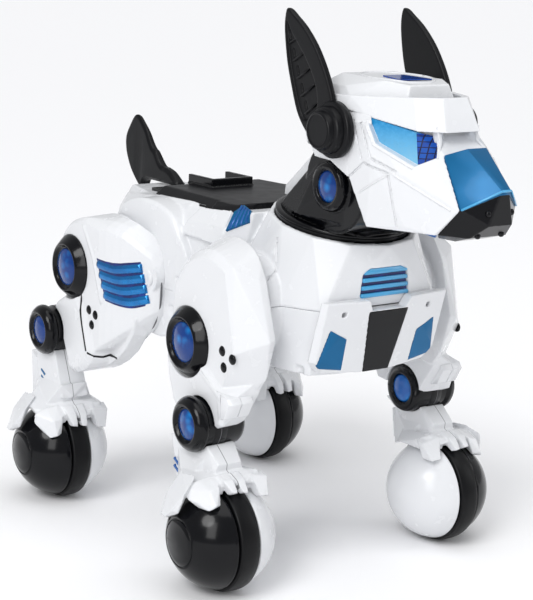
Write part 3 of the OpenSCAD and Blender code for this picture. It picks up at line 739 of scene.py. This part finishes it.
SIDE_CLAW = [(20, 16, 41), (21, -3, 43), (31, -8, 36), (37.6, -2, 23), (38.2, 6, 16.5), (36, 14, 16),
             (29, 18, 29), (25, 4, 29), (33.5, 8, 15), (34, -4, 21)]
FOOT = {FRONT: (TRACK_HALF, -WHEELBASE_HALF, TYRE_R), REAR: (TRACK_HALF, WHEELBASE_HALF, TYRE_R)}
# The shank's knuckle above the paw.
KNUCKLE = {FRONT: [(97, -100, 86), (79, -102, 86), (98.5, -70, 86), (80, -70, 86), (109, -92, 67),
                   (71, -97, 71), (101, -74, 61), (78, -74, 61), (92, -103, 76)],
           REAR: [(98, 88, 88), (78, 88, 88), (99, 124, 88), (80, 124, 88), (112, 98, 66), (67, 100, 70),
                  (101, 130, 60), (78, 130, 60), (90, 86, 79)]}


def shank(end):
    (ky, kz), foot = KNEE[end], FOOT[end]
    top, back = (14, 26) if end == FRONT else (9, 16)
    low = foot[1] - (5 if end == FRONT else 20)
    column = hull([(77, ky - top, kz - 12), (97, ky - top + 1, kz - 12), (77, ky + back - 2, kz - 12),
                   (99, ky + back, kz - 13), (80, ky, kz - 6), (96, ky, kz - 6), (77, low, 78), (98, low, 78),
                   (77, foot[1] + 16, 78), (99, ky + back - 4, 78), (79, foot[1] - 6, 84),
                   (96, foot[1] - 6, 84)])
    heel_y = -66 if end == FRONT else 134
    heel = hull([(98.5, heel_y, kz - 20), (80, heel_y - 1, kz - 20), (98.5, heel_y - 2, 63),
                 (81, heel_y - 3, 64), (97, heel_y - 26, 84), (82, heel_y - 26, 84), (96, heel_y - 16, 62),
                 (84, heel_y - 16, 62)])
    tip = Matrix.Rotation(math.radians(PAW_TIP[end]), 3, "X")
    adds = [column, heel, hull(about(foot, SIDE_CLAW))]
    adds += [hull(about(foot, [tuple(tip @ Vector(p)) for p in part])) for part in PAW]
    adds.append(hull(KNUCKLE[end]))
    room = [ball(foot, BALL_R + 0.35), disc(foot, TYRE_R + 1.2, -7.9, 7.9),
            disc((0, ky, kz), DRUM_R + 0.3, 60, 120), disc((0, ky, kz), 18.6, DRUM_RIM, FAR)]
    return moulding("shank_" + end, adds, room, 0.65, 2, 0.4)


def arc_of(r, start, end, steps):
    """Points of (x, radius) on a ball, from one angle off the middle plane to another, in degrees."""
    angles = [math.radians(start + (end - start) * k / steps) for k in range(steps + 1)]
    return [(r * math.sin(a), r * math.cos(a)) for a in angles]


def ball(centre, r):
    return lathe([(x, 0 if q < 1e-4 else q) for x, q in arc_of(r, -90, 90, 32)], centre)


def wheel_parts(end):
    foot = FOOT[end]
    low, high = math.degrees(math.asin(8.4 / BALL_R)), math.degrees(math.asin(30.9 / BALL_R))
    arc = arc_of(BALL_R, low, high, 22)
    cap = [(30.4, 15.25), (30.4, 14.85), (31.1, 14.6), (32.0, 11.5), (32.7, 7), (33.0, 3), (33.1, 0)]
    outer = new_object("outer", lathe([(BALL_GAP, 0), (BALL_GAP, 32.9)] + arc + cap, foot, 96))
    smooth_faces(crisp(outer, 0.12))
    pair(outer, "ball_black", end, "ball_outer", "black_gloss", ["ball_outer"])
    arc = [(-x, r) for x, r in arc_of(BALL_R, low, 89.9, 30)]
    profile = [(-BALL_GAP, 0), (-BALL_GAP, 32.9)] + arc + [(-BALL_R, 0)]
    inner = new_object("inner", lathe(profile, foot, 96))
    smooth_faces(crisp(inner, 0.12))
    pair(inner, "ball_white", end, "ball_inner", "white_plastic", ["ball_inner"])
    tread = [(-7, 0), (-7, 33.4), (-6.7, 34.5), (-5.9, 35.2), (-4.2, 35.7), (-2, 35.95), (0, 36), (2, 35.95),
             (4.2, 35.7), (5.9, 35.2), (6.7, 34.5), (7, 33.4), (7, 0)]
    tyre = new_object("tyre", lathe(tread, foot, 96))
    smooth_faces(crisp(tyre, 0.12))
    pair(tyre, "tyre", end, "wheel", "tyre_rubber", ["wheel"])


def make_legs():
    for end in (FRONT, REAR):
        cy, cz = BEZEL[end]
        bezel = crisp(new_object("bezel", lathe(BEZEL_PROFILE, (90.3, cy, cz), 96)), 0.15)
        bezel = with_more(bezel, [dome((90.4, y, z), 3.3, 0.7, 1.5) for y, z in DOTS[end]])
        smooth_faces(bezel)
        pair(bezel, "bezel_ring", end, "thigh", "black_gloss", ["hip_bezel"])
        lens = crisp(new_object("lens", dome((94.4, cy, cz), 12.95, 1.0, 2.9)), 0.15)
        pair(lens, "bezel_glass", end, "thigh", "blue_lens", ["hip_lens"])
        knee_parts(end)
        wheel_parts(end)
        leg = shank(end)
        y, z = (-68.5, 75) if end == FRONT else (115, 92)
        dashes = [strip((98.8, y + 2.8, z + 1.5 - d), (98.8, y - 2.8, z - 1.5 - d), (1, 0, 0), 1.5, 2.0, 0.35)
                  for d in (0, 4.8)]
        blue = "panel_blue" if end == FRONT else "blue_metallic"
        pair(joined("dashes", dashes), "shank_marks", end, "shank", "blue_lens", paint=blue)
        pair(leg, "shank_shell", end, "shank", "white_plastic", ["shank"], paint="white_split")
    pair(forearm_clip(), "forearm_clip", FRONT, "thigh", "white_plastic")
    pair(front_thigh(), "thigh_shell", FRONT, "thigh", "white_plastic", ["thigh"])
    thigh = rear_thigh()
    gasket = []
    for normal, line, step in (((1, 0, 0), [(94, 72.5, 158), (94, 59.5, 119)], 6),
                               ((0.8, -0.45, -0.4), [(92, 59.5, 119), (85, 51, 116), (76, 42, 119)], 5)):
        gasket += strips(onto(thigh, line, normal, step), normal, 1.4, 1.0, 0.35)
    pair(joined("gasket", gasket), "thigh_gasket", REAR, "thigh", "black_matt")
    bands = [tube(vent_line((k + 0.5) / 4, -0.9), (2.0, 3.38), 16) for k in range(4)]
    bands = joined("vent", bands)
    smooth_faces(bands)
    pair(bands, "vent_bands", REAR, "thigh", "blue_metallic", paint="vent")
    back = hull([p for out in (0.15, -3) for f in (-0.02, 0.5, 1.02) for p in vent_line(f, out)])
    pair(new_object("back", back), "vent_back", REAR, "thigh", "navy_lens")
    # Painted shade: a thin grey plate in the gap between the rear thigh and the torso stands in for the shade
    # in that gap.
    gap = curve([(66, 213.4), (40, 212.6), (12.4, 197.6), (1.4, 178), (3.4, 156), (15.4, 138.4),
                 (37, 122.4)], 4, closed=False)
    pair(new_object("gap", hull(at_x(68.2, gap) + at_x(69.2, gap))), "hip_gap", REAR, "thigh", "black_matt",
         paint="grey_seam_and_gap_shade")
    pair(thigh, "thigh_shell", REAR, "thigh", "white_plastic", ["thigh"])


# ------------------------------------------------------------------ torso
# The tail's outline: y, z.
TAIL = [(88, 226), (96, 234), (105, 237), (110, 237.6), (114, 240.5), (120.5, 247.5), (124, 249.4),
        (128, 253.5), (133.5, 261), (140.5, 267.5), (146, 271.6), (152.5, 271.6), (160, 263),
        (164.6, 254), (162.8, 243), (156, 232), (148, 224), (141, 218.6), (137, 220), (132, 225.2),
        (112, 225.8)]


def inset_ring(ring, by):
    """An outline of (y, z) drawn in by a little all round."""
    out = []
    n = len(ring)
    turn = sum(a[0] * b[1] - b[0] * a[1] for a, b in zip(ring, ring[1:] + ring[:1]))
    for k, (y, z) in enumerate(ring):
        along = Vector(ring[(k + 1) % n]) - Vector(ring[k - 1])
        along.normalize()
        inward = Vector((-along.y, along.x)) * (1 if turn > 0 else -1)
        out.append((y + inward.x * by, z + inward.y * by))
    return out


def make_torso():
    # The two raised facets on each flank, the shoulder bead, the rear hip hubs and the vent slots.
    side_top = [(58, -13, 218.5), (51.5, -21, 228.5), (50.5, -56, 231), (57.5, -57, 220)]
    side_low = [(61, -10, 211), (58.5, -13, 218), (58, -57, 219.5), (61, -59, 210)]
    n1, n2 = Vector((0.75, 0, 0.66)), Vector((0.95, 0, 0.3))
    adds = both([tuple(Vector(p) + n1 * h) for h in (-3, 1.8) for p in side_top])
    adds += both([tuple(Vector(p) + n2 * h) for h in (-3, 1.2) for p in side_low])
    adds += both([(44, -5, 231), (51.5, -5, 228.5), (49, 48, 227), (42.5, 58, 227), (44, -5, 222),
                  (52.5, -5, 222), (50.5, 48, 220), (43, 58, 221)])
    hub = curve([(-11, 170), (-14, 186), (-16, 203), (-12, 213.5), (-2, 223), (14, 228), (34, 229), (54, 225),
                 (64, 218), (72, 205), (75, 190), (74, 170)], 4, closed=False)
    small = [(30 + (y - 30) * 0.96, 190 + (z - 190) * 0.95) for y, z in hub]
    adds += both(at_x(48, hub) + at_x(64, hub) + at_x(66.2, small))
    slots = []
    for k in range(3):
        slots += both([(x, -19 - 4.2 * k + d, z) for x in (58, 66) for d in (0, 1.3) for z in (211.6, 214.8)])
    upper = soft_copy("torso_upper", "torso_top", 0.85, 4, 0.35, adds=adds, cuts=slots)
    cut_lines(upper, [((s, -0.35, 0.2), [(s * 49, -104, 222), (s * 55, -112, 196)]) for s in (1, -1)],
              1.4, 0.7)
    smooth_faces(upper)
    finish_piece(upper, body_of["torso_upper"], "white_plastic", "torso_upper")
    lower = soft_copy("torso_lower", "torso_base", 0.85, 4, 0.35, cuts=[
        lathe([(x0, 0), (x0, 4), (x1, 4), (x1, 0)], (0, -6, 158)) for x0, x1 in ((64.5, 70), (-70, -64.5))])
    finish_piece(lower, body_of["torso_lower"], "white_plastic", "torso_lower")
    plate = soft_copy("chest_plate", "chest_shield", 0.6, 2, 0.5)
    finish_piece(plate, body_of["chest_plate"], "white_plastic", "chest_plate")
    a0, a1 = Vector((57.5, -61, 220)), Vector((49.5, -72.5, 226.3))
    b0, b1 = Vector((46.5, -61, 235)), Vector((45.8, -70, 232.8))
    n = Vector((0.7, -0.2, 0.65)).normalized()
    ribs = []
    for s in (1, -1):
        for k in range(4):
            t = 0.1 + 0.27 * k
            a, b = a0.lerp(a1, t) + n * 1.5, b0.lerp(b1, t) + n * 1.5
            rib = strip(a, b, n, 2.3, 0.8, 1.0, 0.5)
            ribs.append(rib if s > 0 else flipped(rib))
    ribs = crisp(joined("flank_ribs", ribs), 0.25)
    finish_piece(ribs, body_of["torso_upper"], "blue_metallic", paint="panel_blue")
    back = hull(paired([(18.6, y, 189.2) for y in (-149.4, -146)] + [(16.8, y, 203.8) for y in (-149.6, -146)]
                       + [(12, y, 206.6) for y in (-149.6, -146)]))
    finish_piece(new_object("grille_back", back), body_of["speaker_grille"], "navy_lens", "speaker_grille")
    slats = [hull(paired([(w, y, z) for w, z in rows for y in (-151.2, -147)]
                         + [(rows[0][0] - 0.3, -151.9, mid)]))
             for rows, mid in ((((16.8, 203.4), (15.4, 205.4), (11.8, 206.9)), 204.8),
                               (((17.2, 201), (17.5, 198.6)), 199.8), (((17.8, 196.2), (18.1, 193.8)), 195),
                               (((18.4, 191.4), (18.7, 189)), 190.2))]
    finish_piece(crisp(joined("grille_slats", slats), 0.4), body_of["speaker_grille"], "light_blue")
    corner = both([(46, -30, 235), (50.5, -31, 231), (53, -35, 225.5), (53.8, -52, 225.5), (51, -58.5, 229),
                   (46, -58, 235), (44, -34, 226), (44, -54, 226)])
    seat = hull(paired([(45.5, -54, 235), (34, -58.5, 236), (40, 46, 234.2), (52, -54, 229), (40, -60, 228),
                        (44.5, 51, 228)]))
    saddle = moulding("saddle_pad", [seat] + corner, (), 0.7, 5, 0.4)
    finish_piece(saddle, body_of["saddle"], "black_matt", "saddle")
    walls = []
    for x0, x1, y0, y1 in ((-17, 17, 20, 23), (-17, -14, 20, 51), (14, 17, 20, 51)):
        walls.append(hull([(x, y, z) for x in (x0, x1) for y in (y0, y1) for z in (233.5, 240.5)]))
    walls.append(hull([(x, y, z) for x in (-17.8, 17.8) for y in (19.2, 51) for z in (233.5, 234.9)]))
    rail = moulding("saddle_rail", walls, (), 0.4, 2, 0.5)
    finish_piece(rail, body_of["saddle"], "black_gloss")
    strap = hull(paired([(27, 52, 229.6), (25, 88, 226.4), (27, 52, 224), (25, 88, 224), (24.5, 60, 230)]))
    finish_piece(crisp(new_object("saddle_tongue", strap), 0.8, 3), body_of["saddle"], "black_matt")
    ring = curve(TAIL, 5)
    thin = inset_ring(ring, 2.2)
    layers = [at_x(-4.6, thin), at_x(-2.4, ring), at_x(2.4, ring), at_x(4.6, thin)]
    blade = new_object("tail_blade", loft(layers))
    for v in blade.data.vertices:
        v.co.x *= 1 - 0.62 * min(1, max(0, (v.co.z - 0.228) / 0.044))
    soften_shell(blade, 0.5, 5, 0.5)
    finish_piece(blade, body_of["tail"], "black_matt", "tail")


# ------------------------------------------------------------------ neck and head
def make_neck():
    socket = [(30, 0), (30, 15.5), (38.5, 15.2), (40.5, 14), (41.3, 12.2), (41.0, 10.6), (40.0, 9.9),
              (38.4, 9.8), (38.4, 0)]
    sockets = [lathe([(s * x, r) for x, r in socket], NOD) for s in (1, -1)]
    neck = soft_copy("neck", "neck_shell", 0.75, 3, 0.45, adds=sockets)
    finish_piece(neck, body_of["neck"], "black_gloss", "neck")
    for s, side in ((1, "left"), (-1, "right")):
        lens = new_object("neck_lens_" + side, dome((38.2, NOD[1], NOD[2]), 9.8, 0.8, 2.2))
        if s < 0:
            flipped(lens.data)
        smooth_faces(lens)
        finish_piece(lens, body_of["neck_lenses"], "blue_lens", *(["neck_lenses"] if s > 0 else []))
    profile = [(-2, 38), (-2, 43.2), (-0.4, 43.4), (0.4, 42.6), (0.8, 40.5), (0.8, 38)]
    rim = new_object("collar_rim", lathe(profile, COLLAR, 96, "z", COLLAR_TILT))
    smooth_faces(rim)
    finish_piece(rim, body_of["neck"], "black_gloss")
    spine = soft_copy("neck_spine", "neck_strip", 0.6, 2, 0.5)
    finish_piece(spine, body_of["neck_spine"], "white_plastic", "neck_spine")


def make_head():
    cheek = Vector((0.9, -0.43, 0)).normalized()
    cheek_m = Vector((-cheek.x, cheek.y, 0))
    temple = [(40.5, -150, 299), (41.3, -168, 299), (38.2, -174, 299), (40.2, -150, 306), (39.6, -165, 305),
              (30, -150, 306), (30, -160, 299), (36.6, -177, 299.5), (36.4, -176, 304.5)]
    brow = [(15, -211, 298), (10, -209.3, 298), (10, -209.6, 290.5), (14.8, -212.6, 290.5), (15, -205, 298),
            (10, -205, 298), (10, -205, 290.5), (14.8, -206, 290.5)]
    shell = soft_copy("head_shell", "head_cheeks", 0.6, 2, 0.45, adds=both(temple) + both(brow))
    lines = []
    for line in ([(40.5, -165, 301), (36.5, -173, 279)],
                 [(37.5, -170, 300), (33.5, -180, 280.5), (26, -196, 274.5)],
                 [(41.5, -162, 266), (35.5, -175, 277.5)], [(35.5, -175, 277.5), (27.5, -191, 273)],
                 [(27.5, -191, 272), (25, -197, 243)]):
        lines.append((cheek, line))
        lines.append((cheek_m, [(-x, y, z) for x, y, z in line]))
    adds = []
    for normal, s in ((cheek, 1), (cheek_m, -1)):
        for line in ([(36.8, -173.5, 301), (34.6, -181, 288.4), (23.5, -205, 277)],
                     [(27, -192, 273), (38.5, -168, 257)], [(26, -193, 273), (17, -231, 256)],
                     [(15.9, -210.2, 300), (15.2, -214.5, 283)]):
            path = onto(shell, [(s * x, y, z) for x, y, z in line], normal, 4)
            adds += strips(path, normal, 2.4, 1.5, 0.55, 0.3)
    carve(shell, adds, "UNION")
    cut_lines(shell, lines, 1.3, 0.8)
    smooth_faces(shell)
    modify(shell, "WEIGHTED_NORMAL", weight=60)
    finish_piece(shell, body_of["head_shell"], "white_plastic", "head_shell")
    visor = soft_copy("visor", "visor_band", 0.5, 4, 0.45)
    finish_piece(visor, body_of["visor"], "white_plastic", "visor")
    cap = soft_copy("skull_cap", "skull_dome", 0.6, 2, 0.45)
    finish_piece(cap, body_of["skull_cap"], "white_plastic", "skull_cap")
    ring = [(20 * math.cos(t), -154 + 25 * math.sin(t), 324.3 + 1.4 * min(0, math.sin(t)))
            for t in (math.tau * k / 48 for k in range(48))]
    ring = [tuple(p) for p in onto(cap, ring + [ring[0]], (0, 0, 1), 50)]
    rim = new_object("crown_rim", tube(ring, (0.9, 0.7), 8))
    smooth_faces(rim)
    finish_piece(rim, body_of["skull_cap"], "white_plastic")
    bridge = hull(paired([(21, -240, 256.5), (3.4, -253.8, 268), (7.3, -227.3, 289.2), (16.5, -218.5, 285),
                          (19, -235, 252), (3.4, -246, 255), (5, -218, 272), (15, -214, 272)]))
    bridge = crisp(new_object("bridge", bridge), 0.5, 3)
    finish_piece(bridge, body_of["nose_bridge"], "blue_metallic", "nose_bridge")
    edge = [strip((s * 21, -240.2, 256.8), (s * 3.4, -254, 268.2), (s * 0.3, -0.6, 0.7), 1.2, 0.6, 0.35)
            for s in (1, -1)]
    edge.append(strip((3.4, -254, 268.2), (-3.4, -254, 268.2), (0, -0.6, 0.7), 1.2, 0.6, 0.35))
    finish_piece(crisp(joined("bridge_edge", edge), 0.2), body_of["nose_bridge"], "light_blue")
    chin = [strip((s * 24, -197, 241.5), (s * 16, -214, 237.5), (s * 0.9, -0.43, -0.3), 1.8, 1.5, 0.4)
            for s in (1, -1)]
    finish_piece(joined("chin_trim", chin), body_of["head_shell"], "navy_lens", paint="panel_blue")
    snout = soft_copy("snout", "snout_tip", 0.5, 3, 0.5)
    profile = [(-0.8, 0), (-0.8, 2.0), (0.3, 1.9), (0.8, 1.4), (1.0, 0.7), (1.0, 0)]
    studs = []
    for x, y, z in ((8.7, -249.5, 255.1), (-8.7, -249.5, 255.1), (9, -241.8, 241.5), (-9, -241.8, 241.5)):
        place = onto(snout, [(x, y, z), (x, y, z - 0.1)], (x * 0.05, -0.8, 0.1), 50)[0]
        studs.append(lathe(profile, tuple(place), 20, "z", math.radians(80)))
    studs = joined("snout_studs", studs)
    smooth_faces(studs)
    finish_piece(studs, body_of["snout"], "black_gloss")
    finish_piece(snout, body_of["snout"], "black_gloss", "snout")


# The ear's edge and its sunk panel, from the hub.
EAR_EDGE = [(0, 14), (4, 25), (11, 37), (20, 48.5), (31, 58.5), (41, 65), (46.5, 68.3), (49.6, 67.8),
            (51, 60), (50, 50), (47, 36), (42, 22), (36, 8), (29, -1), (22, -6), (10, -10), (-2, -4)]
EAR_PANEL = [(15.5, 19), (19, 28), (26, 37.5), (34, 46), (42, 53.5), (47.6, 61), (48.8, 58), (47.6, 50),
             (44.6, 36.5), (40, 23.5), (34.5, 10.5), (28, 3), (20, 5), (15.5, 11)]


def make_ears():
    outline = [(y + EAR[0], z + EAR[1]) for y, z in curve(EAR_EDGE, 5)]
    mid_y, mid_z = EAR[0] + 26, EAR[1] + 28
    inner = [(mid_y + (y - mid_y) * 0.95, mid_z + (z - mid_z) * 0.97) for y, z in outline]
    blade = loft([at_x(43.4, inner), at_x(44.3, outline), at_x(46.8, outline), at_x(47.8, inner)])
    panel = [(y + EAR[0], z + EAR[1]) for y, z in curve(EAR_PANEL, 3)]
    panel_cut = loft([at_x(46.3, panel), at_x(50, panel)])
    hub = lathe([(43.4, 0), (43.4, 16.2), (44.2, 17), (47.6, 17), (48.6, 16.2), (48.9, 14.2), (52.6, 14.2),
                 (53.6, 13.6), (54.2, 12.6), (54.4, 11.6), (57.4, 11.4), (58.3, 10.6), (58.5, 9.6),
                 (58.0, 9.2), (58.0, 8.8), (58.0, 5), (58.0, 0)], (0, *EAR), 72)
    ribs, slots = [], []
    for k in range(5):
        a = Vector((46.3, EAR[0] + 42.5 - k * 4.6, EAR[1] + 49 - k * 10.2))
        b = a + Vector((0, -11.5 + k * 0.5, 1.0 + k * 0.2)) + Vector((0, 0, 5))
        ribs.append(strip(a + Vector((0, 3.5, -1.5)), b, (1, 0, 0), 1.5, 1.0, 1.15, 0.6))
        slots.append(strip(a + Vector((0, 2.5, 1.0)), a + Vector((0, 4.3, 6.2)), (1, 0, 0), 1.9, 1.2, 3))
    ear = moulding("ear_l", [blade], [panel_cut] + slots, 0.5, 2, 0.5)
    with_more(ear, [hub] + ribs)
    crisp(ear, 0.15, 1)
    for side, sign in (("left", 1), ("right", -1)):
        piece = ear if sign > 0 else mirrored(ear, "ear_blade_right")
        piece.name = "ear_blade_" + side
        finish_piece(piece, body_of["ear_" + side], "black_matt", "ear_" + side)


make_legs()
make_torso()
make_neck()
make_head()
make_ears()

for n, ob in nodes.items():
    wear(ob, paints[slot_of[n]])
wear(nodes["eye_lenses"], paints["frost"])
wear(nodes["navy_windows"], paints["grid"])
for n, ob in nodes.items():
    if not ob.hide_render:
        modify(ob, "WELD", merge_threshold=0.00001)
        modify(ob, "BEVEL", width=0.0004, segments=2, limit_method="ANGLE", angle_limit=math.radians(32))
